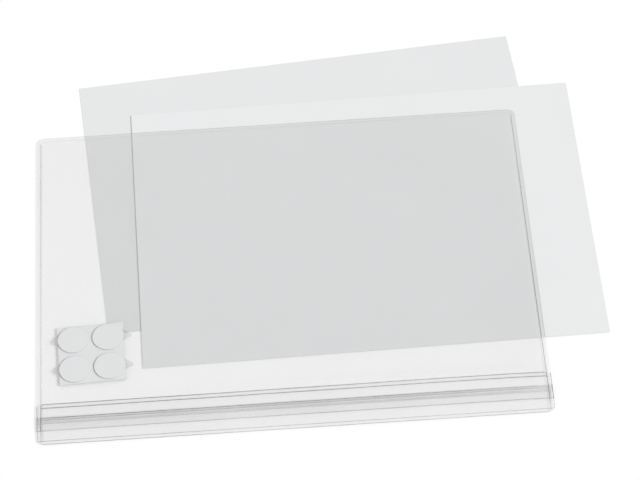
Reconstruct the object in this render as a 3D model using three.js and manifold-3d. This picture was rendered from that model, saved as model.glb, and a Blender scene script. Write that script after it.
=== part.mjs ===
// A4 document pocket in clear film, with a press-seal closure along its lower long side, four adhesive
// discs on a liner, and the two blank A4 sheets that it lies on.
//
// Millimetres. X runs along the long side, Y away from the closure, Z up. The origin is on the underside of
// the lower sheet, straight below the middle of the pocket.

import * as THREE from 'three';
import { mergeVertices } from 'three/addons/utils/BufferGeometryUtils.js';
import Module from 'manifold-3d';

const wasm = await Module();
wasm.setup();

// Pocket outline and films
const POCKET_WIDTH = 323;
const POCKET_DEPTH = 247;
const CORNER_RADIUS = 5;
const SEAM_WIDTH = 2.8;
const FILM_THICKNESS = 0.2;
const WELDED_THICKNESS = 0.15;
const POUCH_GAP = 0.4;
const WELD_STEP = 1.2;
const LAYER_CLEARANCE = 0.03;

// Closure, measured up from the pocket's lower edge
const LIP_EDGE = 9.9;
const LIP_FLAT_TOP = 14.0;
const TRACKS = [15.9, 18.6];
const LOWER_STRIP_TOP = 20.8;
const CLOSURE_SEAM_BOTTOM = 26.3;
const CLOSURE_SEAM_TOP = 29.1;
const FRONT_SLOPE_RUN = 14;

// Closure profile
const STRIP_WEB = 0.3;
const RIB_HEIGHT = 1.1;
const RIB_NECK = 0.5;
const RIB_HEAD = 0.9;
const RIB_TIP = 0.4;
const RIB_HEAD_DEPTH = 0.55;
const RIB_CLEARANCE = 0.1;
const JAW_WALL = 0.35;
const LIP_LIFT = 0.15;

// Ends of the closure, pressed flat in the side seams
const END_PRESS = 0.2;
const END_SHOULDER = 0.62;
const END_RISE_RUN = 26;
const END_RISE_STEPS = 6;

// Blank sheets under the pocket
const SHEET_LENGTH = 297;
const SHEET_WIDTH = 210;
const SHEET_THICKNESS = 0.2;
const SHEET_CLEARANCE = 0.4;
const FILM_REST_CLEARANCE = 0.1;
const LOWER_SHEET_PLACE = { x: 23.6, y: 74.3, turn: 4.57 };
const UPPER_SHEET_PLACE = { x: 52.5, y: 37.1, turn: 0.92 };

// Adhesive discs on their liner
const LINER_WIDTH = 42.4;
const LINER_HEIGHT = 44.6;
const LINER_THICKNESS = 0.15;
const LINER_PLACE = { fromLeft: 35.0, fromBottom: 66.6, turn: 2.2 };
const DISC_RADIUS = 10.1;
const DISC_THICKNESS = 0.8;
const DISC_PITCH_X = 22.1;
const DISC_PITCH_Y = 22.7;
const COVER_THICKNESS = 0.1;
const TAB_REACH = 4.8;
const TAB_HALF_BASE = 4.4;
const TAB_TIP_RADIUS = 1.6;
const TAB_DROP = 0.6;
const TAB_STEPS = 4;

// Fineness of round outlines
const CORNER_SEGMENTS = 5;
const DISC_SEGMENTS = 48;
const COVER_SEGMENTS = 20;
const SLOPE_STEPS = 6;

// Levels, from the surface that the set lies on
const UPPER_SHEET_Z = SHEET_THICKNESS + SHEET_CLEARANCE;
const BACK_FILM_Z = UPPER_SHEET_Z + SHEET_THICKNESS + FILM_REST_CLEARANCE;
const BACK_TOP_Z = BACK_FILM_Z + FILM_THICKNESS;
const PANEL_TOP_Z = BACK_TOP_Z + LAYER_CLEARANCE + POUCH_GAP + FILM_THICKNESS;
const LINER_Z = PANEL_TOP_Z + LAYER_CLEARANCE;
const DISC_Z = LINER_Z + LINER_THICKNESS + LAYER_CLEARANCE;
const COVER_Z = DISC_Z + DISC_THICKNESS + LAYER_CLEARANCE;

// Heights in the closure, from the top of the back film
const LOWER_WEB_TOP = LAYER_CLEARANCE + STRIP_WEB;
const UPPER_WEB_BOTTOM = LOWER_WEB_TOP + RIB_HEIGHT + RIB_CLEARANCE;
const UPPER_WEB_TOP = UPPER_WEB_BOTTOM + STRIP_WEB;
const PRESSED_FLANGE_TOP = UPPER_WEB_TOP - (STRIP_WEB - WELDED_THICKNESS);

// Materials
const clearFilm = new THREE.MeshStandardMaterial({
  color: 0xf1f3f4, roughness: 0.12, metalness: 0, transparent: true, opacity: 0.18,
});
const closureFilm = new THREE.MeshStandardMaterial({
  color: 0xe4e7e9, roughness: 0.2, metalness: 0, transparent: true, opacity: 0.3,
});
const plainSheet = new THREE.MeshStandardMaterial({ color: 0xe6e7e8, roughness: 0.85, metalness: 0 });
const linerPaper = new THREE.MeshStandardMaterial({ color: 0xe3e4e4, roughness: 0.6, metalness: 0 });
const adhesiveFoam = new THREE.MeshStandardMaterial({ color: 0xececec, roughness: 0.7, metalness: 0 });
const coverFilm = new THREE.MeshStandardMaterial({
  color: 0xe2e4e5, roughness: 0.3, metalness: 0, transparent: true, opacity: 0.6,
});

// A height measured up from the pocket's lower edge, as a Y in the part's frame
function fromLowerEdge(distance) {
  return distance - POCKET_DEPTH / 2;
}

// 0 up to the start of a ramp, 1 from its end, with an even ease between them
function ease(value, start, end) {
  return THREE.MathUtils.smoothstep(value, start, end);
}

// Solids: positions only, with shared vertices
function toSolid(geometry) {
  const bare = geometry.clone();
  bare.deleteAttribute('normal');
  bare.deleteAttribute('uv');
  const merged = mergeVertices(bare);
  return new wasm.Manifold(new wasm.Mesh({
    numProp: 3,
    vertProperties: Float32Array.from(merged.attributes.position.array),
    triVerts: Uint32Array.from(merged.index.array),
  }));
}

function toGeometry(solid) {
  const mesh = solid.getMesh();
  const geometry = new THREE.BufferGeometry();
  geometry.setAttribute('position', new THREE.BufferAttribute(Float32Array.from(mesh.vertProperties), 3));
  geometry.setIndex(new THREE.BufferAttribute(Uint32Array.from(mesh.triVerts), 1));
  return geometry;
}

function roundedRectangle(width, height, radius) {
  const x = width / 2;
  const y = height / 2;
  const shape = new THREE.Shape();
  shape.moveTo(x, y - radius);
  shape.absarc(x - radius, y - radius, radius, 0, Math.PI / 2, false);
  shape.absarc(radius - x, y - radius, radius, Math.PI / 2, Math.PI, false);
  shape.absarc(radius - x, radius - y, radius, Math.PI, 1.5 * Math.PI, false);
  shape.absarc(x - radius, radius - y, radius, 1.5 * Math.PI, 2 * Math.PI, false);
  return shape;
}

function plate(shape, thickness, segments) {
  return new THREE.ExtrudeGeometry(shape, { depth: thickness, bevelEnabled: false, curveSegments: segments });
}

// What lies inside an outline, at any height
function trimTo(shape, geometry, segments) {
  geometry.computeBoundingBox();
  const low = geometry.boundingBox.min.z - 1;
  const high = geometry.boundingBox.max.z + 1;
  const prism = plate(shape, high - low, segments);
  prism.translate(0, 0, low);
  return toGeometry(toSolid(geometry).intersect(toSolid(prism)));
}

function trimToPocket(geometry) {
  return trimTo(roundedRectangle(POCKET_WIDTH, POCKET_DEPTH, CORNER_RADIUS), geometry, CORNER_SEGMENTS);
}

// A film over a grid of X and Y lines, with its underside and thickness given at each crossing
function filmOverGrid(xs, ys, underside, thickness) {
  const columns = xs.length - 1;
  const rows = ys.length - 1;
  const geometry = new THREE.BoxGeometry(columns, rows, 1, columns, rows, 1);
  const position = geometry.attributes.position;
  for (let i = 0; i < position.count; i += 1) {
    const x = xs[Math.round(position.getX(i) + columns / 2)];
    const y = ys[Math.round(position.getY(i) + rows / 2)];
    const top = position.getZ(i) > 0 ? thickness(x, y) : 0;
    position.setXYZ(i, x, y, underside(x, y) + top);
  }
  return geometry;
}

// A section in Y and height, carried along X through a list of stations
function carryAlongX(section, stations, level) {
  const steps = stations.length - 1;
  const geometry = new THREE.ExtrudeGeometry(section, { depth: steps, steps, bevelEnabled: false });
  const position = geometry.attributes.position;
  for (let i = 0; i < position.count; i += 1) {
    const x = stations[Math.round(position.getZ(i))];
    position.setXYZ(i, x, position.getX(i), level(x, position.getY(i)));
  }
  return geometry;
}

// Distance in from the nearer side of the pocket
function fromSide(x) {
  return POCKET_WIDTH / 2 - Math.abs(x);
}

// How much of its free height the closure keeps at X: pressed in the side seams, then rising
function closureRise(x) {
  const inset = fromSide(x) - SEAM_WIDTH;
  const shoulder = THREE.MathUtils.clamp(inset / WELD_STEP, 0, 1);
  const rest = ease(inset, WELD_STEP, END_RISE_RUN);
  return END_PRESS + (END_SHOULDER - END_PRESS) * shoulder + (1 - END_SHOULDER) * rest;
}

function closureLevel(x, height) {
  return BACK_TOP_Z + height * closureRise(x);
}

// X lines that all the pocket's films share, so that what touches keeps touching
function stationsAlongX() {
  const insets = [0, SEAM_WIDTH, SEAM_WIDTH + WELD_STEP];
  for (let i = 1; i <= END_RISE_STEPS; i += 1) {
    const run = END_RISE_RUN - WELD_STEP;
    insets.push(SEAM_WIDTH + WELD_STEP + run * i / END_RISE_STEPS);
  }
  const left = insets.map((inset) => inset - POCKET_WIDTH / 2);
  const right = insets.map((inset) => POCKET_WIDTH / 2 - inset).reverse();
  return [...left, ...right];
}

function backFilm() {
  const geometry = plate(
    roundedRectangle(POCKET_WIDTH, POCKET_DEPTH, CORNER_RADIUS), FILM_THICKNESS, CORNER_SEGMENTS,
  );
  geometry.translate(0, 0, BACK_FILM_Z);
  return new THREE.Mesh(geometry, clearFilm);
}

// Front film: a welded margin on three sides, the raised pouch, and the edge welded to the closure
function frontFilm() {
  const seamTop = fromLowerEdge(CLOSURE_SEAM_TOP);
  const slopeEnd = seamTop + FRONT_SLOPE_RUN;
  const topSeam = POCKET_DEPTH / 2 - SEAM_WIDTH;
  const ys = [fromLowerEdge(CLOSURE_SEAM_BOTTOM), seamTop, seamTop + WELD_STEP];
  for (let i = 1; i <= SLOPE_STEPS; i += 1) {
    ys.push(THREE.MathUtils.lerp(seamTop + WELD_STEP, slopeEnd, i / SLOPE_STEPS));
  }
  ys.push(topSeam - WELD_STEP, topSeam, POCKET_DEPTH / 2);
  const inside = (x, y) => Math.min(ease(fromSide(x), SEAM_WIDTH, SEAM_WIDTH + WELD_STEP),
    1 - ease(y, topSeam - WELD_STEP, topSeam));
  const underside = (x, y) => {
    const seam = PRESSED_FLANGE_TOP * closureRise(x);
    const pouch = POUCH_GAP * inside(x, y);
    return BACK_TOP_Z + LAYER_CLEARANCE + THREE.MathUtils.lerp(seam, pouch, ease(y, seamTop, slopeEnd));
  };
  const thickness = (x, y) => {
    const free = inside(x, y) * (y > seamTop ? 1 : 0);
    return THREE.MathUtils.lerp(WELDED_THICKNESS, FILM_THICKNESS, free);
  };
  const film = filmOverGrid(stationsAlongX(), ys, underside, thickness);
  return new THREE.Mesh(trimToPocket(film), clearFilm);
}

// Lower strip: welded in at the lower edge, with one headed rib on each track
function lowerStripSection() {
  const outline = new THREE.Shape();
  const start = fromLowerEdge(0);
  const end = fromLowerEdge(LOWER_STRIP_TOP);
  const pressedTop = LAYER_CLEARANCE + WELDED_THICKNESS;
  outline.moveTo(start, LAYER_CLEARANCE);
  outline.lineTo(end, LAYER_CLEARANCE);
  outline.lineTo(end, LOWER_WEB_TOP);
  for (const track of [...TRACKS].reverse()) {
    const middle = fromLowerEdge(track);
    const barb = LOWER_WEB_TOP + RIB_HEIGHT - RIB_HEAD_DEPTH;
    outline.lineTo(middle + RIB_NECK / 2, LOWER_WEB_TOP);
    outline.lineTo(middle + RIB_NECK / 2, barb);
    outline.lineTo(middle + RIB_HEAD / 2, barb);
    outline.lineTo(middle + RIB_TIP / 2, LOWER_WEB_TOP + RIB_HEIGHT);
    outline.lineTo(middle - RIB_TIP / 2, LOWER_WEB_TOP + RIB_HEIGHT);
    outline.lineTo(middle - RIB_HEAD / 2, barb);
    outline.lineTo(middle - RIB_NECK / 2, barb);
    outline.lineTo(middle - RIB_NECK / 2, LOWER_WEB_TOP);
  }
  outline.lineTo(start + SEAM_WIDTH + WELD_STEP / 2, LOWER_WEB_TOP);
  outline.lineTo(start + SEAM_WIDTH, pressedTop);
  outline.lineTo(start, pressedTop);
  return outline;
}

// Upper strip: a grip lip that leans down, a pair of hooked jaws round each rib, and the welded flange
function upperStripSection() {
  const outline = new THREE.Shape();
  const lip = fromLowerEdge(LIP_EDGE);
  const lipTop = fromLowerEdge(LIP_FLAT_TOP);
  const lipBottom = LOWER_WEB_TOP + LIP_LIFT;
  const seamBottom = fromLowerEdge(CLOSURE_SEAM_BOTTOM);
  const seamTop = fromLowerEdge(CLOSURE_SEAM_TOP);
  const mouth = RIB_NECK / 2 + RIB_CLEARANCE;
  const cavity = RIB_HEAD / 2 + RIB_CLEARANCE;
  const jawOutside = cavity + JAW_WALL;
  const jawTip = LOWER_WEB_TOP + RIB_CLEARANCE;
  const hookTop = LOWER_WEB_TOP + RIB_HEIGHT - RIB_HEAD_DEPTH - RIB_CLEARANCE;
  outline.moveTo(lip, lipBottom);
  outline.lineTo(lipTop, UPPER_WEB_BOTTOM);
  for (const track of TRACKS) {
    const middle = fromLowerEdge(track);
    outline.lineTo(middle - jawOutside, UPPER_WEB_BOTTOM);
    outline.lineTo(middle - jawOutside, jawTip);
    outline.lineTo(middle - mouth, jawTip);
    outline.lineTo(middle - mouth, hookTop);
    outline.lineTo(middle - cavity, hookTop);
    outline.lineTo(middle - cavity, UPPER_WEB_BOTTOM);
    outline.lineTo(middle + cavity, UPPER_WEB_BOTTOM);
    outline.lineTo(middle + cavity, hookTop);
    outline.lineTo(middle + mouth, hookTop);
    outline.lineTo(middle + mouth, jawTip);
    outline.lineTo(middle + jawOutside, jawTip);
    outline.lineTo(middle + jawOutside, UPPER_WEB_BOTTOM);
  }
  outline.lineTo(seamTop, UPPER_WEB_BOTTOM);
  outline.lineTo(seamTop, PRESSED_FLANGE_TOP);
  outline.lineTo(seamBottom, PRESSED_FLANGE_TOP);
  outline.lineTo(seamBottom - WELD_STEP / 2, UPPER_WEB_TOP);
  outline.lineTo(lipTop, UPPER_WEB_TOP);
  outline.lineTo(lip, lipBottom + STRIP_WEB);
  return outline;
}

function closureStrip(section) {
  const strip = carryAlongX(section, stationsAlongX(), closureLevel);
  return new THREE.Mesh(trimToPocket(strip), closureFilm);
}

// One blank sheet, turned as it lies
function insertSheet(place, level) {
  const geometry = new THREE.BoxGeometry(SHEET_LENGTH, SHEET_WIDTH, SHEET_THICKNESS);
  geometry.translate(0, 0, SHEET_THICKNESS / 2);
  const sheet = new THREE.Mesh(geometry, plainSheet);
  sheet.position.set(place.x, place.y, level);
  sheet.rotation.z = THREE.MathUtils.degToRad(place.turn);
  return sheet;
}

function padLiner() {
  const geometry = new THREE.BoxGeometry(LINER_WIDTH, LINER_HEIGHT, LINER_THICKNESS);
  geometry.translate(0, 0, LINER_THICKNESS / 2);
  return new THREE.Mesh(geometry, linerPaper);
}

function adhesiveDisc() {
  const geometry = new THREE.CylinderGeometry(DISC_RADIUS, DISC_RADIUS, DISC_THICKNESS, DISC_SEGMENTS);
  geometry.rotateX(Math.PI / 2);
  geometry.translate(0, 0, DISC_THICKNESS / 2);
  return new THREE.Mesh(geometry, adhesiveFoam);
}

// Outline of a disc's cover: the disc with a finger tab towards +X
function coverOutline() {
  const rootAngle = Math.asin(TAB_HALF_BASE / DISC_RADIUS);
  const tipCentre = DISC_RADIUS + TAB_REACH - TAB_TIP_RADIUS;
  const root = new THREE.Vector2(Math.cos(rootAngle), Math.sin(rootAngle)).multiplyScalar(DISC_RADIUS);
  const toRoot = new THREE.Vector2(root.x - tipCentre, root.y);
  const tipAngle = toRoot.angle() - Math.acos(TAB_TIP_RADIUS / toRoot.length());
  const outline = new THREE.Shape();
  outline.absarc(0, 0, DISC_RADIUS, rootAngle, 2 * Math.PI - rootAngle, false);
  outline.absarc(tipCentre, 0, TAB_TIP_RADIUS, -tipAngle, tipAngle, false);
  return outline;
}

// Cover film of one disc: flat on the disc, with its tab leaning down past the edge
function discCover() {
  const xs = [-DISC_RADIUS - 1, DISC_RADIUS];
  for (let i = 1; i <= TAB_STEPS; i += 1) {
    xs.push(DISC_RADIUS + TAB_REACH * i / TAB_STEPS);
  }
  const ys = [-DISC_RADIUS - 1, DISC_RADIUS + 1];
  const droop = (x) => -TAB_DROP * ease(x, DISC_RADIUS, DISC_RADIUS + TAB_REACH);
  const film = filmOverGrid(xs, ys, droop, () => COVER_THICKNESS);
  return new THREE.Mesh(trimTo(coverOutline(), film, COVER_SEGMENTS), coverFilm);
}

// The liner with its four discs, each with a cover whose tab points outward
function padSet() {
  const set = new THREE.Group();
  const liner = padLiner();
  liner.name = 'pad_liner';
  liner.position.z = LINER_Z;
  set.add(liner);
  for (const [row, up] of [['upper', 1], ['lower', -1]]) {
    for (const [column, right] of [['left', -1], ['right', 1]]) {
      const x = right * DISC_PITCH_X / 2;
      const y = up * DISC_PITCH_Y / 2;
      const disc = adhesiveDisc();
      disc.name = `adhesive_disc_${row}_${column}`;
      disc.position.set(x, y, DISC_Z);
      const cover = discCover();
      cover.name = `disc_cover_${row}_${column}`;
      cover.position.set(x, y, COVER_Z);
      cover.rotation.z = right > 0 ? 0 : Math.PI;
      set.add(disc, cover);
    }
  }
  set.position.set(LINER_PLACE.fromLeft - POCKET_WIDTH / 2, fromLowerEdge(LINER_PLACE.fromBottom), 0);
  set.rotation.z = THREE.MathUtils.degToRad(LINER_PLACE.turn);
  return set;
}

function documentPocket() {
  const pieces = {
    insert_sheet_lower: insertSheet(LOWER_SHEET_PLACE, 0),
    insert_sheet_upper: insertSheet(UPPER_SHEET_PLACE, UPPER_SHEET_Z),
    back_film: backFilm(),
    front_film: frontFilm(),
    closure_lower_strip: closureStrip(lowerStripSection()),
    closure_upper_strip: closureStrip(upperStripSection()),
  };
  const group = new THREE.Group();
  for (const [name, mesh] of Object.entries(pieces)) {
    mesh.name = name;
    group.add(mesh);
  }
  group.add(padSet());
  return group;
}

export default documentPocket();
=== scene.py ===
"""Looks of an A4 document pocket in clear film, with its closure, adhesive discs and two blank sheets.

Metres throughout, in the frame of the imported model: X along the long side, Y away from the closure, Z up.
"""

import logging
import math
from collections import Counter
from dataclasses import dataclass, field
from enum import Enum, IntEnum
from typing import Callable, Iterable, Sequence

import bmesh
import bpy
from mathutils import Matrix, Vector


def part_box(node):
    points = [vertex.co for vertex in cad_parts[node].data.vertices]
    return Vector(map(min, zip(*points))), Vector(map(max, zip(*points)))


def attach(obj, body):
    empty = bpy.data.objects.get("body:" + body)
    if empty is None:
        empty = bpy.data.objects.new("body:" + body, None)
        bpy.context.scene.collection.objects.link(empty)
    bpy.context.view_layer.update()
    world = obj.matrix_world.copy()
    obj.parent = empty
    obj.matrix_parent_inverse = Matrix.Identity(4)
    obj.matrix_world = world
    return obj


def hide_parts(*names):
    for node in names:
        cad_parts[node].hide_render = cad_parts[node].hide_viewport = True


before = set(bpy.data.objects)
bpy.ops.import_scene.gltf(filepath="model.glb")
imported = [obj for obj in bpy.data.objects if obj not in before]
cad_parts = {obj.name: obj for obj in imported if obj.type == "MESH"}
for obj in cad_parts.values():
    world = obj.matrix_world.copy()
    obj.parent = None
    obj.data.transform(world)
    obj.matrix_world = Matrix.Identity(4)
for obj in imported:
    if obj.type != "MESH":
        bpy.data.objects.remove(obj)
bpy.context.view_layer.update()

MM = 0.001
BODY = "root"
LOG = logging.getLogger("document_pocket")

Colour = tuple[float, float, float]
Point = tuple[float, float]
Level = Callable[[float, float], float]


class Slot(Enum):
    """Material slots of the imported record."""

    CLEAR_FILM = "clear_film"
    CLOSURE_FILM = "closure_film"
    BLANK_SHEET = "blank_sheet"
    LINER_PAPER = "liner_paper"
    ADHESIVE_FOAM = "adhesive_foam"
    COVER_FILM = "cover_film"


def ease(value: float, start: float, end: float) -> float:
    """Return 0 up to start and 1 from end, with an even ease between them."""
    share = min(max((value - start) / (end - start), 0.0), 1.0)
    return share * share * (3.0 - 2.0 * share)


def mix(low: float, high: float, share: float) -> float:
    """Return the value that lies at a share of the way from low to high."""
    return low + (high - low) * share


class Shader:
    """One material's node tree, built node by node."""

    def __init__(self, name: str) -> None:
        """Make an empty material.

        Args:
            name: The material's name.
        """
        self.material = bpy.data.materials.new(name)
        self.material.use_nodes = True
        self.tree = self.material.node_tree
        self.tree.nodes.clear()
        self.output = self.tree.nodes.new("ShaderNodeOutputMaterial")
        self.place = self.tree.nodes.new("ShaderNodeTexCoord").outputs["Object"]

    def node(self, kind: str, values: dict | None = None, **settings: object) -> bpy.types.Node:
        """Add a node.

        Args:
            kind: Blender's name for the node's type.
            values: Input names or numbers, each with a value or with the socket that feeds it.
            settings: Properties of the node itself.

        Returns:
            The new node.
        """
        made = self.tree.nodes.new(kind)
        for key, value in settings.items():
            setattr(made, key, value)
        for key, value in (values or {}).items():
            if isinstance(value, bpy.types.NodeSocket):
                self.tree.links.new(value, made.inputs[key])
            else:
                made.inputs[key].default_value = value
        return made

    def noise(
        self, scale: float, detail: float = 2.0, stretch: Sequence[float] = (1, 1, 1)
    ) -> bpy.types.NodeSocket:
        """Return a noise between 0 and 1 over the object's own place.

        Args:
            scale: Waves in a metre.
            detail: Octaves of the noise.
            stretch: Factors on X, Y and Z.

        Returns:
            The socket that gives the noise.
        """
        mapping = self.node("ShaderNodeMapping", {"Vector": self.place, "Scale": tuple(stretch)})
        noise = self.node(
            "ShaderNodeTexNoise", {"Vector": mapping.outputs[0], "Scale": scale, "Detail": detail}
        )
        return noise.outputs["Fac"]

    def math(self, operation: str, first: object, second: object = 0.0) -> bpy.types.NodeSocket:
        """Return the result of one sum on two values or sockets."""
        return self.node("ShaderNodeMath", {0: first, 1: second}, operation=operation).outputs[0]

    def spread(self, source: bpy.types.NodeSocket, start: Point, result: Point) -> bpy.types.NodeSocket:
        """Return source carried from one range to another, and held at its ends.

        Args:
            source: The value to carry over.
            start: The range that is read.
            result: The range that is written.

        Returns:
            The socket that gives the result.
        """
        values = {"Value": source, 1: start[0], 2: start[1], 3: result[0], 4: result[1]}
        return self.node("ShaderNodeMapRange", values).outputs[0]

    def blend(self, share: bpy.types.NodeSocket, first: Colour, second: Colour) -> bpy.types.NodeSocket:
        """Return a colour between two, at a share that varies over the surface."""
        made = self.node("ShaderNodeMix", {"Factor": share}, data_type="RGBA")
        made.inputs[6].default_value = (*first, 1.0)
        made.inputs[7].default_value = (*second, 1.0)
        return made.outputs[2]

    def bump(self, height: bpy.types.NodeSocket, strength: float, distance: float) -> bpy.types.NodeSocket:
        """Return a normal disturbed by a height."""
        values = {"Height": height, "Strength": strength, "Distance": distance}
        return self.node("ShaderNodeBump", values).outputs[0]

    def steepness(self) -> bpy.types.NodeSocket:
        """Return 1 on upright faces, such as cut edges and rib walls, and 0 on flat ones."""
        normal = self.node("ShaderNodeNewGeometry").outputs["Normal"]
        up = self.node("ShaderNodeSeparateXYZ", {0: normal}).outputs["Z"]
        return self.spread(self.math("ABSOLUTE", up), (0.45, 0.93), (1.0, 0.0))

    def finish(self, surface: bpy.types.NodeSocket) -> bpy.types.Material:
        """Send a surface to the output and return the material."""
        self.tree.links.new(surface, self.output.inputs["Surface"])
        return self.material


@dataclass(frozen=True)
class FilmFinish:
    """Clear soft film: each face stops a small share of the light; cut and steep faces are drawn darker and
    more opaque, which is painted shade.
    """

    name: str
    slot: Slot
    haze: float
    # Extra opacity and a dark tint on upright faces: painted shade, not the film's own colour.
    steep_shade_opacity: float
    tint: Colour = (0.6, 0.605, 0.61)
    steep_shade_tint: Colour = (0.18, 0.185, 0.19)
    mottle: float = 0.12
    gloss: float = 0.12
    roughness: float = 0.12
    # Share by which the haze is painted heavier at the left end and lighter at the right: painted shade.
    left_shade: float = 0.0

    def material(self) -> bpy.types.Material:
        """Return the film's material; its haze may fall off from the left end to the right, which is painted
        shade that draws the left end darker.
        """
        shader = Shader(self.name)
        across = shader.node("ShaderNodeSeparateXYZ", {0: shader.place}).outputs["X"]
        # Painted shade: heavier haze at the left end, lighter at the right.
        fall = shader.spread(across, (-0.16, 0.16), (1.0 + self.left_shade, 1.0 - self.left_shade))
        # Upright faces take the dark tint and more opacity: painted shade.
        steep = shader.steepness()
        cloud = shader.spread(shader.noise(9.0, 3.0), (0.3, 0.7), (1.0 - self.mottle, 1.0 + self.mottle))
        flat = shader.math("MULTIPLY", cloud, self.haze)
        extra = shader.math("MULTIPLY", steep, self.steep_shade_opacity)
        solid = shader.math("MULTIPLY", shader.math("ADD", flat, extra), fall)
        ripple = shader.bump(shader.noise(26.0, 3.0), 0.25, 0.0012)
        body = shader.node(
            "ShaderNodeBsdfPrincipled",
            {
                "Base Color": shader.blend(steep, self.tint, self.steep_shade_tint),
                "Alpha": solid,
                "Roughness": 0.45,
                "Normal": ripple,
            },
        )
        gleam = shader.node("ShaderNodeBsdfGlossy", {"Roughness": self.roughness, "Normal": ripple})
        facing = shader.node("ShaderNodeLayerWeight", {"Blend": 0.35, "Normal": ripple}).outputs["Fresnel"]
        share = shader.math("MULTIPLY", facing, self.gloss)
        mixed = shader.node("ShaderNodeMixShader", {0: share, 1: body.outputs[0], 2: gleam.outputs[0]})
        return shader.finish(mixed.outputs[0])


@dataclass(frozen=True)
class PaperFinish:
    """Matt paper or card with a faint fibre and a faint cloud in its tone."""

    name: str
    slot: Slot
    tone: Colour
    cloud_tone: Colour
    fibre: float = 0.08

    def material(self) -> bpy.types.Material:
        """Return the paper's material."""
        shader = Shader(self.name)
        cloud = shader.spread(shader.noise(14.0, 4.0), (0.3, 0.7), (0.0, 1.0))
        fibres = shader.noise(900.0, 4.0, (1.0, 0.6, 1.0))
        body = shader.node(
            "ShaderNodeBsdfPrincipled",
            {
                "Base Color": shader.blend(cloud, self.tone, self.cloud_tone),
                "Roughness": shader.spread(fibres, (0.3, 0.7), (0.78, 0.92)),
                "Specular IOR Level": 0.2,
                "Normal": shader.bump(fibres, self.fibre, 0.0002),
            },
        )
        return shader.finish(body.outputs[0])


@dataclass(frozen=True)
class FoamFinish:
    """White adhesive foam with fine closed pores, whose upright sides are painted darker as shade."""

    name: str
    slot: Slot
    tone: Colour
    pore_shade_tone: Colour
    side_shade: Colour

    def material(self) -> bpy.types.Material:
        """Return the foam's material."""
        shader = Shader(self.name)
        pores = shader.node(
            "ShaderNodeTexVoronoi", {"Vector": shader.place, "Scale": 2600.0, "Randomness": 1.0}
        ).outputs["Distance"]
        # Darker towards the middle of each pore: painted shade in the pore hollows.
        depth = shader.spread(pores, (0.1, 0.6), (1.0, 0.0))
        face = shader.blend(depth, self.tone, self.pore_shade_tone)
        # Upright sides take a darker tone: painted shade that draws the discs' dark rims.
        sides = shader.node("ShaderNodeMix", {"Factor": shader.steepness(), 6: face}, data_type="RGBA")
        sides.inputs[7].default_value = (*self.side_shade, 1.0)
        body = shader.node(
            "ShaderNodeBsdfPrincipled",
            {
                "Base Color": sides.outputs[2],
                "Roughness": shader.spread(pores, (0.0, 0.6), (0.55, 0.75)),
                "Specular IOR Level": 0.3,
                "Normal": shader.bump(pores, 0.12, 0.0001),
            },
        )
        return shader.finish(body.outputs[0])


FILM = FilmFinish("pocket_film", Slot.CLEAR_FILM, haze=0.018, steep_shade_opacity=0.14)
WELD_CORE = FilmFinish("welded_film", Slot.CLEAR_FILM, haze=0.006, steep_shade_opacity=0.3, mottle=0.3)
EDGE_LINE = FilmFinish(
    "edge_line", Slot.CLEAR_FILM, haze=0.06, steep_shade_opacity=0.1, tint=(0.3, 0.305, 0.31), mottle=0.35
)
# The inner weld line on the left and right sides: the same weld as on the top, drawn darker there as painted
# shade.
SHADED_SIDE_LINE = FilmFinish(
    "side_line_shaded", Slot.CLEAR_FILM, haze=0.3, steep_shade_opacity=0.3, tint=(0.24, 0.245, 0.25), mottle=0.35
)
SEAM_LINE = FilmFinish(
    "seam_line",
    Slot.CLEAR_FILM,
    haze=0.46,
    steep_shade_opacity=0.2,
    tint=(0.14, 0.145, 0.15),
    mottle=0.25,
    left_shade=0.2,
)
# The closure film comes in several copies: which rib walls and lip faces read dark or faint is painted shade.
PROFILE = FilmFinish(
    "closure_profile",
    Slot.CLOSURE_FILM,
    haze=0.03,
    steep_shade_opacity=0.34,
    tint=(0.5, 0.505, 0.51),
    mottle=0.2,
    left_shade=0.45,
)
SHADED_WALL_PROFILE = FilmFinish(
    "closure_wall_shaded",
    Slot.CLOSURE_FILM,
    haze=0.03,
    steep_shade_opacity=0.62,
    steep_shade_tint=(0.1, 0.105, 0.11),
    mottle=0.2,
    left_shade=0.5,
)
LIP_LINE = FilmFinish(
    "closure_lip", Slot.CLOSURE_FILM, haze=0.44, steep_shade_opacity=0.15, tint=(0.25, 0.255, 0.26), mottle=0.3
)
SOFT_PROFILE = FilmFinish(
    "closure_soft_profile",
    Slot.CLOSURE_FILM,
    haze=0.03,
    steep_shade_opacity=0.085,
    tint=(0.5, 0.505, 0.51),
    mottle=0.2,
    left_shade=0.25,
)
COVER = FilmFinish("disc_cover_film", Slot.COVER_FILM, haze=0.025, steep_shade_opacity=0.4)
# The finger tabs are the cover film drawn darker: painted shade for tabs that lean away from the light.
TAB = FilmFinish("cover_tab_shaded", Slot.COVER_FILM, haze=0.12, steep_shade_opacity=0.2, tint=(0.4, 0.405, 0.41))
# The lower sheet is the same blank paper as the upper one, drawn a little darker: painted shade.
SHADED_LOWER_PAPER = PaperFinish(
    "lower_sheet_paper_shaded", Slot.BLANK_SHEET, tone=(0.79, 0.795, 0.80), cloud_tone=(0.80, 0.805, 0.81)
)
UPPER_PAPER = PaperFinish(
    "upper_sheet_paper", Slot.BLANK_SHEET, tone=(0.815, 0.82, 0.825), cloud_tone=(0.825, 0.83, 0.835)
)
LINER = PaperFinish(
    "release_liner", Slot.LINER_PAPER, tone=(0.725, 0.73, 0.735), cloud_tone=(0.745, 0.75, 0.755)
)
FOAM = FoamFinish(
    "adhesive_foam",
    Slot.ADHESIVE_FOAM,
    tone=(0.84, 0.845, 0.85),
    pore_shade_tone=(0.76, 0.765, 0.77),
    side_shade=(0.58, 0.585, 0.59),
)


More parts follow.
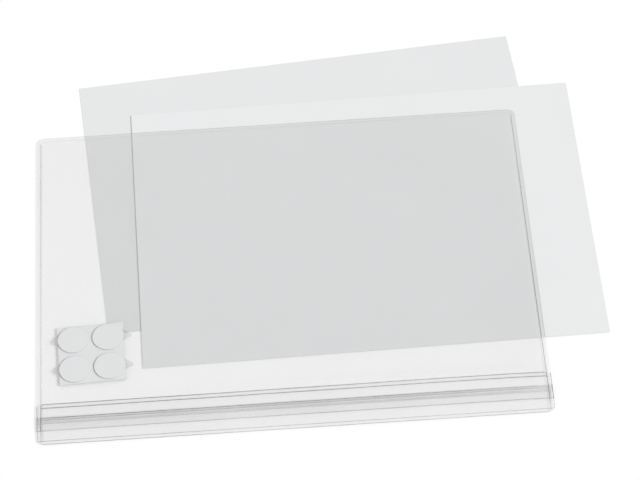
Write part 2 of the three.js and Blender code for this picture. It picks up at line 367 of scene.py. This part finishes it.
class FlatSheet:
    """A thin piece drawn in plan, then given an underside and a top."""

    def __init__(self) -> None:
        """Start with no points and no faces."""
        self.points: list[Point] = []
        self.faces: list[tuple[list[int], int]] = []
        self.known: dict[tuple[int, int], int] = {}

    def point(self, x: float, y: float) -> int:
        """Return the number of the point at x, y, which is made once."""
        key = (round(x * 1e7), round(y * 1e7))
        if key not in self.known:
            self.known[key] = len(self.points)
            self.points.append((x, y))
        return self.known[key]

    def face(self, corners: Iterable[int], slot: int = 0) -> None:
        """Add a face, less any corner that repeats.

        Args:
            corners: Point numbers, anticlockwise from above.
            slot: The number of the face's finish.
        """
        ring = list(dict.fromkeys(corners))
        if len(ring) > 2:
            self.faces.append((ring, slot))

    def rim(self) -> list[tuple[int, int]]:
        """Return the edges that only one face has, in that face's order."""
        seen: Counter[frozenset[int]] = Counter()
        for ring, _ in self.faces:
            for a, b in zip(ring, ring[1:] + ring[:1]):
                seen[frozenset((a, b))] += 1
        return [
            (a, b)
            for ring, _ in self.faces
            for a, b in zip(ring, ring[1:] + ring[:1])
            if seen[frozenset((a, b))] == 1
        ]

    def solid(self, underside: Level, thickness: Level, rim_slot: int = 0) -> bmesh.types.BMesh:
        """Return the closed solid.

        Args:
            underside: Height of the lower face at x, y.
            thickness: Thickness at x, y.
            rim_slot: The number of the finish on the cut edge.

        Returns:
            The solid's mesh.
        """
        mesh = bmesh.new()
        low = [mesh.verts.new((x, y, underside(x, y))) for x, y in self.points]
        high = [mesh.verts.new((x, y, underside(x, y) + thickness(x, y))) for x, y in self.points]
        for ring, slot in self.faces:
            mesh.faces.new([high[i] for i in ring]).material_index = slot
            mesh.faces.new([low[i] for i in reversed(ring)]).material_index = slot
        for a, b in self.rim():
            mesh.faces.new((low[a], low[b], high[b], high[a])).material_index = rim_slot
        return mesh


def make_piece(
    name: str,
    mesh: bmesh.types.BMesh,
    finishes: Sequence[bpy.types.Material],
    slot: Slot,
    nodes: Sequence[str],
) -> bpy.types.Object:
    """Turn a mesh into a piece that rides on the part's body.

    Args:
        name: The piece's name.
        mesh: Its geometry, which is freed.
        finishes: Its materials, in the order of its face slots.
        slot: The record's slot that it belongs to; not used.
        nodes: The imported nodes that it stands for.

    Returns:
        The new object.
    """
    data = bpy.data.meshes.new(name)
    bmesh.ops.recalc_face_normals(mesh, faces=mesh.faces)
    mesh.to_mesh(data)
    mesh.free()
    for finish in finishes:
        data.materials.append(finish)
    data.polygons.foreach_set("use_smooth", [True] * len(data.polygons))
    data.set_sharp_from_angle(angle=math.radians(28))
    piece = bpy.data.objects.new(name, data)
    bpy.context.scene.collection.objects.link(piece)
    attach(piece, BODY)
    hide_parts(*nodes)
    LOG.info("%s: %d faces", name, len(data.polygons))
    return piece


def dress_node(name: str, material: bpy.types.Material) -> None:
    """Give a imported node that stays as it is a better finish."""
    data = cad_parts[name].data
    for index in range(len(data.materials)):
        data.materials[index] = material
    LOG.info("%s: kept, finish %s", name, material.name)


@dataclass
class PocketOutline:
    """The pocket's plan, read from its back film."""

    seam_width: float = 2.8 * MM
    corner_radius: float = 5.0 * MM
    low: Vector = field(init=False)
    high: Vector = field(init=False)

    def __post_init__(self) -> None:
        """Read the back film's box."""
        low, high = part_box("back_film")
        self.low = Vector(low)
        self.high = Vector(high)

    def from_lower_edge(self, distance: float) -> float:
        """Return the Y of a line measured up from the lower edge."""
        return self.low.y + distance

    def from_side(self, x: float) -> float:
        """Return how far x lies in from the nearer side."""
        return min(x - self.low.x, self.high.x - x)

    def corner_inset(self, y: float) -> float:
        """Return how far the round lower corner draws the side in at y."""
        drop = self.corner_radius - (y - self.low.y)
        if drop <= 0.0:
            return 0.0
        return self.corner_radius - math.sqrt(max(self.corner_radius**2 - drop**2, 0.0))


@dataclass
class ClosureRise:
    """How high the closed profile stands along X: pressed in the side seams, then free with a slow wave."""

    outline: PocketOutline
    pressed: float = 0.2
    shoulder: float = 0.62
    shoulder_run: float = 1.2 * MM
    rise_run: float = 26.0 * MM
    sag: float = 0.2
    waves: tuple[tuple[float, float, float], ...] = ((0.16, 0.480, 0.0), (0.04, 0.083, 2.1))

    def at(self, x: float) -> float:
        """Return the share of the free height that is left at x."""
        inset = self.outline.from_side(x) - self.outline.seam_width
        shoulder = min(max(inset / self.shoulder_run, 0.0), 1.0)
        rest = ease(inset, self.shoulder_run, self.rise_run)
        wave = sum(depth * math.sin(math.tau * x / length + phase) for depth, length, phase in self.waves)
        free = 1.0 - self.shoulder - self.sag + wave
        return self.pressed + (self.shoulder - self.pressed) * shoulder + free * rest


class FilmZone(IntEnum):
    """Zones of the front film, in the order of its finishes."""

    PLAIN = 0
    CORE = 1
    EDGE = 2
    SEAM = 3
    SIDE = 4


class TabZone(IntEnum):
    """Zones of a disc's cover, in the order of its finishes."""

    DISC = 0
    TAB = 1


class Part(IntEnum):
    """Zones of a strip's section, in the order of the strip's finishes: copies of one film, where which rib
    walls and lip faces read dark is painted shade.
    """

    PLAIN = 0
    SOFT = 1
    LINE = 2
    CORE = 3
    WALL = 4
    LIP = 5


SectionPoint = tuple[float, float, Part]


@dataclass
class PressSeal:
    """The two extruded strips of the closure: headed ribs below, hooked jaws and a grip lip above."""

    outline: PocketOutline
    rise: ClosureRise
    clearance: float = 0.03 * MM
    web: float = 0.3 * MM
    pressed_web: float = 0.15 * MM
    lip_edge: float = 9.9 * MM
    lip_top: float = 14.0 * MM
    tracks: tuple[float, float] = (15.9 * MM, 18.6 * MM)
    lower_top: float = 20.8 * MM
    seam_bottom: float = 26.3 * MM
    seam_top: float = 29.1 * MM
    rib_height: float = 1.1 * MM
    rib_neck: float = 0.5 * MM
    rib_head: float = 0.9 * MM
    rib_tip: float = 0.4 * MM
    head_depth: float = 0.55 * MM
    barb_trim: float = 0.05 * MM
    barb_rise: float = 0.15 * MM
    rib_clearance: float = 0.1 * MM
    jaw_wall: float = 0.35 * MM
    jaw_bevel: float = 0.12 * MM
    lip_lift: float = 0.15 * MM
    lip_slant: float = 0.1 * MM
    lip_face: float = 0.2 * MM
    line: float = 0.4 * MM
    shoulder_start: float = 0.5 * MM
    step: float = 0.6 * MM
    spacing: float = 3.0 * MM

    @property
    def lower_web_top(self) -> float:
        """Height of the lower strip's web above the back film."""
        return self.clearance + self.web

    @property
    def upper_web_bottom(self) -> float:
        """Height of the upper strip's underside above the back film."""
        return self.lower_web_top + self.rib_height + self.rib_clearance

    @property
    def flange_top(self) -> float:
        """Height of the upper strip's pressed flange above the back film."""
        return self.upper_web_bottom + self.pressed_web

    def stations(self) -> list[float]:
        """Return the X of each section, closer together where the ends are pressed."""
        seam = self.outline.seam_width
        shoulder = [seam, seam + self.shoulder_start, seam + self.rise.shoulder_run]
        insets = [0.0, self.line, seam - self.line, *shoulder]
        left = [self.outline.low.x + inset for inset in insets]
        right = [self.outline.high.x - inset for inset in reversed(insets)]
        count = round((right[0] - left[-1]) / self.spacing)
        middle = [mix(left[-1], right[0], i / count) for i in range(1, count)]
        return left + middle + right

    def lower_section(self) -> list[SectionPoint]:
        """Return the lower strip's section, anticlockwise as seen from +X."""
        top = self.lower_web_top
        head = top + self.rib_height
        barb = head - self.head_depth
        section = [
            (0.0, self.clearance, Part.PLAIN),
            (self.lower_top, self.clearance, Part.SOFT),
            (self.lower_top, top, Part.PLAIN),
        ]
        for track in reversed(self.tracks):
            half = [
                (self.rib_neck / 2, top),
                (self.rib_neck / 2, barb),
                (self.rib_head / 2, barb),
                (self.rib_head / 2 - self.barb_trim, barb + self.barb_rise),
                (self.rib_tip / 2, head),
            ]
            section += [(track + y, height, Part.SOFT) for y, height in half]
            section += [(track - y, height, Part.SOFT) for y, height in reversed(half)]
        pressed = self.clearance + self.pressed_web
        seam = self.outline.seam_width
        return section + [
            (seam + self.step, top, Part.SOFT),
            (seam, pressed, Part.LINE),
            (seam - self.line, pressed, Part.CORE),
            (self.line, pressed, Part.LINE),
            (0.0, pressed, Part.SOFT),
        ]

    def upper_section(self) -> list[SectionPoint]:
        """Return the upper strip's section, anticlockwise as seen from +X."""
        bottom = self.upper_web_bottom
        mouth = self.rib_neck / 2 + self.rib_clearance
        cavity = self.rib_head / 2 + self.rib_clearance
        outside = cavity + self.jaw_wall
        tip = self.lower_web_top + self.rib_clearance
        hook = self.lower_web_top + self.rib_height - self.head_depth - self.rib_clearance
        lip_bottom = self.lower_web_top + self.lip_lift
        bevel = self.jaw_bevel
        section = [(self.lip_edge, lip_bottom, Part.PLAIN), (self.lip_top, bottom, Part.SOFT)]
        # The far wall of the track further up takes the darkest copy: painted shade.
        for track, near, far in zip(self.tracks, (Part.SOFT, Part.PLAIN), (Part.SOFT, Part.WALL)):
            wall = [(outside, bottom), (outside, tip + bevel), (outside - bevel, tip)]
            hollow = [(mouth, tip), (mouth, hook), (cavity, hook), (cavity, bottom)]
            section += [(track - y, height, near) for y, height in wall]
            section += [(track - y, height, Part.SOFT) for y, height in hollow]
            section += [(track + y, height, Part.SOFT) for y, height in reversed(hollow)]
            section += [(track + y, height, far) for y, height in reversed(wall)]
        top = bottom + self.web
        lip = self.lip_edge + self.lip_slant
        lip_top = lip_bottom + self.web
        line_share = self.line / (self.lip_top - lip)
        return section + [
            (self.seam_top, bottom, Part.SOFT),
            (self.seam_top, self.flange_top, Part.CORE),
            (self.seam_bottom, self.flange_top, Part.SOFT),
            (self.seam_bottom - self.step, top, Part.PLAIN),
            (self.lip_top, top, Part.PLAIN),
            (lip + self.line, mix(lip_top, top, line_share), Part.LIP),
            (lip, lip_top, Part.LIP),
            (self.lip_edge, lip_bottom + self.lip_face, Part.SOFT),
        ]

    def carry(self, section: Sequence[SectionPoint]) -> bmesh.types.BMesh:
        """Return a section carried along X, with its ends pressed and its lower corners round."""
        mesh = bmesh.new()
        rings = []
        stations = self.stations()
        for x in stations:
            ring = []
            for distance, height, _ in section:
                y = self.outline.from_lower_edge(distance)
                edge = 1.0 - min(self.outline.from_side(x) / self.outline.corner_radius, 1.0)
                drawn_in = math.copysign(self.outline.corner_inset(y) * edge, x)
                z = self.outline.high.z + height * self.rise.at(x)
                ring.append(mesh.verts.new((x - drawn_in, y, z)))
            rings.append(ring)
        for x, following_x, ring, following in zip(stations, stations[1:], rings, rings[1:]):
            inset = self.outline.from_side((x + following_x) / 2)
            pressed = inset < self.line or 0.0 < self.outline.seam_width - inset < self.line
            for i, (_, _, part) in enumerate(section):
                j = (i + 1) % len(section)
                face = mesh.faces.new((ring[i], ring[j], following[j], following[i]))
                face.material_index = Part.LINE if pressed else part
        mesh.faces.new(list(reversed(rings[0])))
        mesh.faces.new(rings[-1])
        return mesh

    def build(self, finishes: Sequence[bpy.types.Material]) -> None:
        """Make both strips."""
        for name, section in (("lower", self.lower_section()), ("upper", self.upper_section())):
            mesh = self.carry(section)
            make_piece(f"press_seal_{name}", mesh, finishes, PROFILE.slot, [f"closure_{name}_strip"])


@dataclass
class FrontFilm:
    """The front film: a welded margin on three sides, the raised pouch and the edge welded to the closure."""

    outline: PocketOutline
    seal: PressSeal
    thickness: float = 0.2 * MM
    welded: float = 0.15 * MM
    pouch_gap: float = 0.4 * MM
    weld_step: float = 1.2 * MM
    slope_run: float = 14.0 * MM
    bead_width: float = 0.4 * MM
    seam_line: float = 0.5 * MM
    seam_gap: float = 0.05 * MM
    slope_start: float = 0.85 * MM
    slope_steps: int = 8
    spacing: float = 6.0 * MM
    corner_steps: int = 8
    # On the top, the weld core takes the plain finish and the inner line the faint edge finish, so the side
    # welds read darker: painted shade.
    top_shade_zones: dict[FilmZone, FilmZone] = field(
        default_factory=lambda: {FilmZone.CORE: FilmZone.PLAIN, FilmZone.SIDE: FilmZone.EDGE}
    )

    def insets(self) -> list[tuple[float, FilmZone]]:
        """Return the rings of the margin: distance in from the edge, and the finish from there inward."""
        seam = self.outline.seam_width
        return [
            (0.0, FilmZone.EDGE),
            (self.bead_width, FilmZone.CORE),
            (seam - self.bead_width, FilmZone.SIDE),
            (seam + self.seam_gap, FilmZone.PLAIN),
            (seam + self.weld_step / 2, FilmZone.PLAIN),
            (seam + self.weld_step, FilmZone.PLAIN),
            (self.outline.corner_radius, FilmZone.PLAIN),
        ]

    def rows(self) -> list[float]:
        """Return the Y lines up the sides."""
        start = self.outline.from_lower_edge(self.seal.seam_bottom)
        top = self.outline.from_lower_edge(self.seal.seam_top)
        upper_line = top + self.seam_gap
        near = [start, start + self.seam_line, upper_line, upper_line + self.seam_line]
        near += [top + self.slope_start, top + self.weld_step]
        steps = self.slope_steps
        slope = [top + self.weld_step + self.slope_run * i / steps for i in range(1, steps + 1)]
        end = self.outline.high.y - self.outline.corner_radius
        count = round((end - slope[-1]) / self.spacing)
        return near + slope + [mix(slope[-1], end, i / count) for i in range(1, count + 1)]

    def columns(self) -> list[float]:
        """Return the X lines between the corners."""
        start = self.outline.low.x + self.outline.corner_radius
        end = self.outline.high.x - self.outline.corner_radius
        count = round((end - start) / self.spacing)
        return [mix(start, end, i / count) for i in range(count + 1)]

    def margin_path(self) -> list[Callable[[float], Point]]:
        """Return the stations round the three welded sides, each giving the point at an inset."""
        low, high, radius = self.outline.low, self.outline.high, self.outline.corner_radius
        path: list[Callable[[float], Point]] = []
        for y in self.rows():
            path.append(lambda inset, y=y: (low.x + inset, y))
        for centre_x, start in ((low.x + radius, math.pi), (high.x - radius, math.pi / 2)):
            for i in range(1, self.corner_steps):
                turn = start - math.pi / 2 * i / self.corner_steps
                path.append(
                    lambda inset, c=centre_x, t=turn: (
                        c + (radius - inset) * math.cos(t),
                        high.y - radius + (radius - inset) * math.sin(t),
                    )
                )
            if centre_x < 0.0:
                path += [lambda inset, x=x: (x, high.y - inset) for x in self.columns()]
        for y in reversed(self.rows()):
            path.append(lambda inset, y=y: (high.x - inset, y))
        return path

    def plan(self) -> FlatSheet:
        """Return the film in plan, with the zone of each face."""
        sheet = FlatSheet()
        path = self.margin_path()
        rings = self.insets()
        rows = self.rows()
        seam_rows = dict(enumerate((FilmZone.SEAM, FilmZone.CORE, FilmZone.SEAM)))
        for station, following in zip(path, path[1:]):
            for (outer, zone), (inner, _) in zip(rings, rings[1:]):
                corners = [station(outer), following(outer), following(inner), station(inner)]
                middle = sum(y for _, y in corners) / len(corners)
                row = next((i for i in seam_rows if rows[i] < middle < rows[i + 1]), None)
                if middle > rows[-1]:
                    zone = self.top_shade_zones.get(zone, zone)
                elif zone == FilmZone.PLAIN and row is not None:
                    zone = seam_rows[row]
                sheet.face([sheet.point(x, y) for x, y in reversed(corners)], zone)
        columns = self.columns()
        for row, (y, above) in enumerate(zip(rows, rows[1:])):
            for x, right in zip(columns, columns[1:]):
                corners = [(x, y), (right, y), (right, above), (x, above)]
                sheet.face([sheet.point(*corner) for corner in corners], seam_rows.get(row, FilmZone.PLAIN))
        return sheet

    def inside(self, x: float, y: float) -> float:
        """Return 0 in the welded margin and 1 over the pouch."""
        start = self.outline.seam_width
        end = start + self.weld_step
        side = self.outline.from_side(x)
        top = self.outline.high.y - y
        radius = self.outline.corner_radius
        if side < radius and top < radius:
            away = math.hypot(radius - side, radius - top)
            return ease(radius - away, start, end)
        return min(ease(side, start, end), ease(top, start, end))

    def underside(self, x: float, y: float) -> float:
        """Return the height of the film's lower face."""
        seam_top = self.outline.from_lower_edge(self.seal.seam_top)
        seam = self.seal.flange_top * self.seal.rise.at(x)
        pouch = self.pouch_gap * self.inside(x, y)
        lift = mix(seam, pouch, ease(y, seam_top, seam_top + self.slope_run))
        return self.outline.high.z + self.seal.clearance + lift

    def film_thickness(self, x: float, y: float) -> float:
        """Return the film's thickness, which is less where it is welded."""
        seam_top = self.outline.from_lower_edge(self.seal.seam_top)
        free = self.inside(x, y) * ease(y, seam_top, seam_top + self.weld_step)
        return mix(self.welded, self.thickness, free)

    def build(self, finishes: Sequence[bpy.types.Material]) -> None:
        """Make the film."""
        mesh = self.plan().solid(self.underside, self.film_thickness, rim_slot=FilmZone.EDGE)
        make_piece("front_film_sheet", mesh, finishes, FILM.slot, ["front_film"])


@dataclass
class DiscCover:
    """Clear cover of one adhesive disc, with a finger tab that leans down past the disc."""

    radius: float = 10.1 * MM
    tab_reach: float = 4.8 * MM
    tab_half_base: float = 4.4 * MM
    tip_radius: float = 1.6 * MM
    tab_drop: float = 0.6 * MM
    thickness: float = 0.1 * MM
    rim_width: float = 0.25 * MM
    steps: int = 96
    tab_steps: int = 5

    def reach(self, turn: float) -> float:
        """Return how far the outline lies from the disc's middle at an angle from the tab."""
        root = math.asin(self.tab_half_base / self.radius)
        if abs(turn) >= root:
            return self.radius
        centre = self.radius + self.tab_reach - self.tip_radius
        start = Vector((self.radius * math.cos(root), self.radius * math.sin(root)))
        back = start - Vector((centre, 0.0))
        tangent = math.atan2(back.y, back.x) - math.acos(self.tip_radius / back.length)
        end = Vector((centre + self.tip_radius * math.cos(tangent), self.tip_radius * math.sin(tangent)))
        ray = Vector((math.cos(abs(turn)), math.sin(abs(turn))))
        if math.atan2(end.y, end.x) >= abs(turn):
            return centre * ray.x + math.sqrt(max(self.tip_radius**2 - (centre * ray.y) ** 2, 0.0))
        side = end - start
        return (start.x * side.y - start.y * side.x) / (ray.x * side.y - ray.y * side.x)

    def plan(self) -> FlatSheet:
        """Return the cover in plan, about the disc's middle, with its tab towards +X."""
        sheet = FlatSheet()
        rings = [0.0, 0.5 * self.radius, self.radius - self.rim_width, self.radius]
        rings += [self.radius + self.tab_reach * i / self.tab_steps for i in range(1, self.tab_steps + 1)]
        turns = [math.tau * i / self.steps for i in range(self.steps)]

        def spot(ring: float, turn: float) -> int:
            """Return the number of the point on a ring, drawn in to the outline."""
            signed = (turn + math.pi) % math.tau - math.pi
            out = min(ring, self.reach(signed))
            return sheet.point(out * math.cos(turn), out * math.sin(turn))

        for turn, following in zip(turns, turns[1:] + turns[:1]):
            for inner, outer in zip(rings, rings[1:]):
                corners = [spot(inner, turn), spot(outer, turn)]
                corners += [spot(outer, following), spot(inner, following)]
                sheet.face(corners, TabZone.DISC if outer <= self.radius else TabZone.TAB)
        return sheet

    def solid(self, level: float) -> bmesh.types.BMesh:
        """Return the cover's mesh.

        Args:
            level: The height of its flat part's underside.

        Returns:
            The mesh, about the disc's middle.
        """

        def underside(x: float, _: float) -> float:
            """Return the height of the cover's lower face."""
            return level - self.tab_drop * ease(x, self.radius, self.radius + self.tab_reach)

        return self.plan().solid(underside, lambda x, y: self.thickness)


@dataclass
class PadSet:
    """The liner with its four adhesive discs and their covers."""

    cover: DiscCover = field(default_factory=DiscCover)
    edge_round: float = 0.07 * MM
    waist: float = 0.4
    disc_steps: int = 96
    turn: float = math.radians(2.2)

    def disc(self, centre: Vector, radius: float, low: float, high: float) -> bmesh.types.BMesh:
        """Return a die-cut disc: its wall draws in a little between two small rounds.

        Args:
            centre: The disc's middle in plan.
            radius: Its radius.
            low: The height of its underside.
            high: The height of its top.

        Returns:
            The disc's mesh.
        """
        mesh = bmesh.new()
        trim = self.edge_round
        profile = [
            (radius - trim, low),
            (radius, low + trim),
            (radius - self.waist * trim, (low + high) / 2),
            (radius, high - trim),
            (radius - trim, high),
            (0.6 * radius, high),
        ]
        rings = []
        for out, z in profile:
            turns = [math.tau * i / self.disc_steps for i in range(self.disc_steps)]
            spots = [(centre.x + out * math.cos(t), centre.y + out * math.sin(t), z) for t in turns]
            rings.append([mesh.verts.new(spot) for spot in spots])
        for ring, following in zip(rings, rings[1:]):
            for i in range(self.disc_steps):
                j = (i + 1) % self.disc_steps
                mesh.faces.new((ring[i], ring[j], following[j], following[i]))
        mesh.faces.new(list(reversed(rings[0])))
        mesh.faces.new(rings[-1])
        return mesh

    def build(self, foam: bpy.types.Material, films: Sequence[bpy.types.Material]) -> None:
        """Make the discs and their covers."""
        for row in ("upper", "lower"):
            for column in ("left", "right"):
                node = f"adhesive_disc_{row}_{column}"
                low, high = (Vector(corner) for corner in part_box(node))
                centre = (low + high) / 2
                radius = (high.x - low.x) / 2
                disc = self.disc(centre, radius, low.z, high.z)
                make_piece(f"foam_disc_{row}_{column}", disc, [foam], FOAM.slot, [node])
                cover_node = f"disc_cover_{row}_{column}"
                cover_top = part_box(cover_node)[1][2]
                mesh = self.cover.solid(cover_top - self.cover.thickness)
                facing = self.turn + (0.0 if column == "right" else math.pi)
                spot = Matrix.Translation((centre.x, centre.y, 0.0)) @ Matrix.Rotation(facing, 4, "Z")
                bmesh.ops.transform(mesh, matrix=spot, verts=mesh.verts)
                make_piece(f"cover_film_{row}_{column}", mesh, films, COVER.slot, [cover_node])


@dataclass
class Studio:
    """Pale floor, soft light and the camera."""

    target: Vector = field(default_factory=lambda: Vector((0.0236, 0.0228, 0.0008)))
    distance: float = 1.7736
    azimuth: float = math.radians(-1.83)
    elevation: float = math.radians(52.4)
    roll: float = math.radians(-2.22)
    focal_pixels: float = 2713.0
    image_width: float = 640.0
    sensor: float = 36.0
    floor_size: float = 8.0
    floor_drop: float = 0.05 * MM
    floor_tone: float = 0.7
    floor_grain: float = 0.002
    floor_glow: float = 0.305
    sky: float = 0.54
    sun: float = 2.28
    sun_azimuth: float = math.radians(-30.0)
    sun_elevation: float = math.radians(40.0)
    sun_size: float = math.radians(18.0)

    def seen_directly(self, shader: Shader) -> bpy.types.NodeSocket:
        """Return 1 for rays from the camera, mirrors and clear surfaces, and 0 for light on the object."""
        rays = shader.node("ShaderNodeLightPath").outputs
        either = shader.math("MAXIMUM", rays["Is Camera Ray"], rays["Is Glossy Ray"])
        return shader.math("MAXIMUM", either, rays["Is Transmission Ray"])

    def floor(self) -> None:
        """Make the pale floor, which keeps the object's shadow."""
        shader = Shader("pale_floor")
        tones = (self.floor_tone - self.floor_grain, self.floor_tone)
        grain = shader.spread(shader.noise(3.0), (0.3, 0.7), tones)
        body = shader.node("ShaderNodeBsdfDiffuse", {"Color": grain})
        glow = shader.math("MULTIPLY", self.seen_directly(shader), self.floor_glow)
        lamp = shader.node("ShaderNodeEmission", {"Strength": glow})
        both = shader.node("ShaderNodeAddShader", {0: body.outputs[0], 1: lamp.outputs[0]})
        mesh = bmesh.new()
        bmesh.ops.create_grid(mesh, x_segments=1, y_segments=1, size=self.floor_size / 2)
        data = bpy.data.meshes.new("floor")
        mesh.to_mesh(data)
        mesh.free()
        data.materials.append(shader.finish(both.outputs[0]))
        floor = bpy.data.objects.new("floor", data)
        floor.location.z = -self.floor_drop
        bpy.context.scene.collection.objects.link(floor)

    def world(self) -> None:
        """Light the set evenly from all round, with a white surround where it is seen."""
        world = bpy.data.worlds.new("studio_surround")
        world.use_nodes = True
        tree = world.node_tree
        tree.nodes.clear()
        rays = tree.nodes.new("ShaderNodeLightPath").outputs
        seen = rays["Is Camera Ray"]
        for name in ("Is Glossy Ray", "Is Transmission Ray"):
            either = tree.nodes.new("ShaderNodeMath")
            either.operation = "MAXIMUM"
            tree.links.new(seen, either.inputs[0])
            tree.links.new(rays[name], either.inputs[1])
            seen = either.outputs[0]
        strength = tree.nodes.new("ShaderNodeMapRange")
        tree.links.new(seen, strength.inputs["Value"])
        strength.inputs["To Min"].default_value = self.sky
        strength.inputs["To Max"].default_value = 1.0
        surround = tree.nodes.new("ShaderNodeBackground")
        surround.inputs["Color"].default_value = (1.0, 1.0, 1.0, 1.0)
        tree.links.new(strength.outputs[0], surround.inputs["Strength"])
        output = tree.nodes.new("ShaderNodeOutputWorld")
        tree.links.new(surround.outputs[0], output.inputs["Surface"])
        bpy.context.scene.world = world

    def key_light(self) -> None:
        """Set one broad, soft light at the right."""
        lamp = bpy.data.lights.new("key", "SUN")
        lamp.energy = self.sun
        lamp.angle = self.sun_size
        key = bpy.data.objects.new("key", lamp)
        level = math.cos(self.sun_elevation)
        across = level * math.cos(self.sun_azimuth)
        along = level * math.sin(self.sun_azimuth)
        towards = Vector((across, along, math.sin(self.sun_elevation)))
        key.rotation_euler = towards.to_track_quat("Z", "Y").to_euler()
        key.location = towards
        bpy.context.scene.collection.objects.link(key)

    def camera(self) -> None:
        """Set the camera at the photograph's viewing angle."""
        data = bpy.data.cameras.new("camera")
        data.sensor_width = self.sensor
        data.lens = self.focal_pixels / self.image_width * self.sensor
        data.clip_start = 0.05
        data.clip_end = 50.0
        level = math.cos(self.elevation)
        back = Vector(
            (math.sin(self.azimuth) * level, -math.cos(self.azimuth) * level, math.sin(self.elevation))
        )
        right = Vector((math.cos(self.azimuth), math.sin(self.azimuth), 0.0))
        upward = back.cross(right)
        across = right * math.cos(self.roll) + upward * math.sin(self.roll)
        above = upward * math.cos(self.roll) - right * math.sin(self.roll)
        turn = Matrix((across, above, back)).transposed().to_4x4()
        camera = bpy.data.objects.new("camera", data)
        camera.matrix_world = Matrix.Translation(self.target + back * self.distance) @ turn
        bpy.context.scene.collection.objects.link(camera)
        bpy.context.scene.camera = camera

    def build(self) -> None:
        """Set up the whole stage."""
        self.camera()
        self.world()
        self.key_light()
        self.floor()
        scene = bpy.context.scene
        scene.view_settings.view_transform = "Standard"
        scene.cycles.transparent_max_bounces = 64


def main() -> None:
    """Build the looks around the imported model."""
    logging.basicConfig(level=logging.INFO, format="%(name)s %(message)s")
    Studio().build()
    film = FILM.material()
    dress_node("back_film", film)
    dress_node("insert_sheet_lower", SHADED_LOWER_PAPER.material())
    dress_node("insert_sheet_upper", UPPER_PAPER.material())
    dress_node("pad_liner", LINER.material())
    outline = PocketOutline()
    seal = PressSeal(outline, ClosureRise(outline))
    core, seam_line = WELD_CORE.material(), SEAM_LINE.material()
    profile, soft_profile, wall, lip = (
        finish.material() for finish in (PROFILE, SOFT_PROFILE, SHADED_WALL_PROFILE, LIP_LINE)
    )
    seal.build([profile, soft_profile, seam_line, core, wall, lip])
    FrontFilm(outline, seal).build([film, core, EDGE_LINE.material(), seam_line, SHADED_SIDE_LINE.material()])
    PadSet().build(FOAM.material(), [COVER.material(), TAB.material()])


if __name__ == "__main__":
    main()
